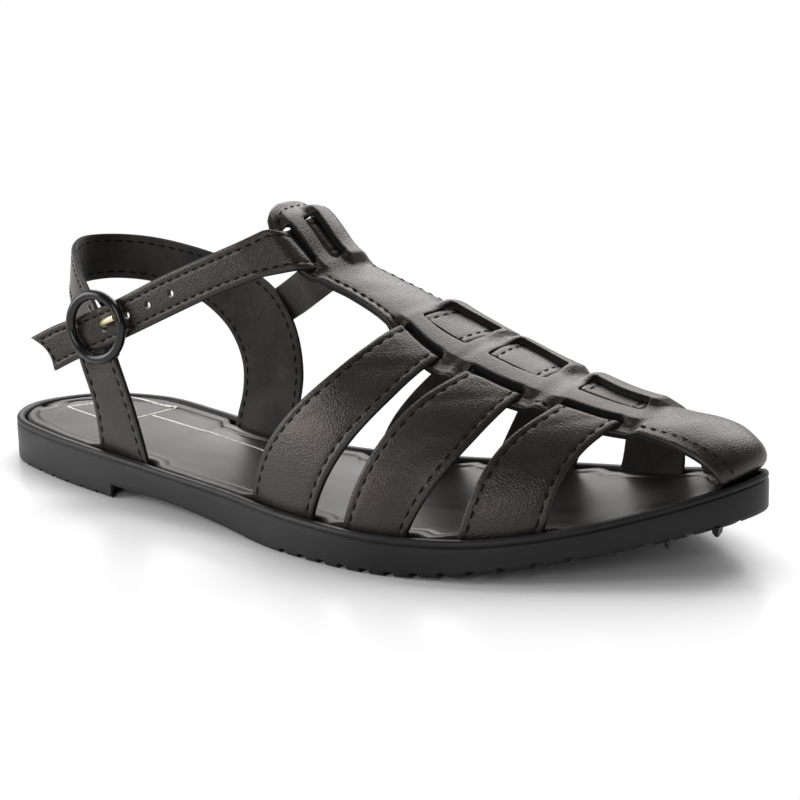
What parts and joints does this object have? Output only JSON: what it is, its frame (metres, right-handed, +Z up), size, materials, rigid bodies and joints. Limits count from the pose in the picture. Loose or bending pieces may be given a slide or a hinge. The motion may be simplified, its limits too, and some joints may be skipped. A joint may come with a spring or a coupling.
{
  "type": "fisherman sandal",
  "caption": "Right foot of a flat black fisherman sandal: toe cap and spine with woven cross straps, a heel strap, and an ankle strap with a round buckle on a ribbed rubber sole.",
  "frame": {"origin": "middle of the heel's flat rest face, on the floor", "axes": "+X from the heel towards the toe, +Y towards the inner side of the foot, +Z up"},
  "size_m": [0.256, 0.0899, 0.0863],
  "materials": {
    "sole_rubber": "satin moulded rubber",
    "insole_lining": "soft padded lining",
    "strap_leather": "grained, satin, stitched edges",
    "buckle_black": "glossy black",
    "prong_brass": "polished pale brass"
  },
  "bodies": {
    "root": {"outsole": "sole_rubber", "insole": "insole_lining", "vamp": "strap_leather", "cross_strap_rear": "strap_leather", "cross_strap_middle": "strap_leather", "cross_strap_front": "strap_leather", "quarter": "strap_leather", "ankle_strap": "strap_leather", "buckle": "buckle_black", "buckle_prong": "prong_brass"}
  },
  "joints": []
}
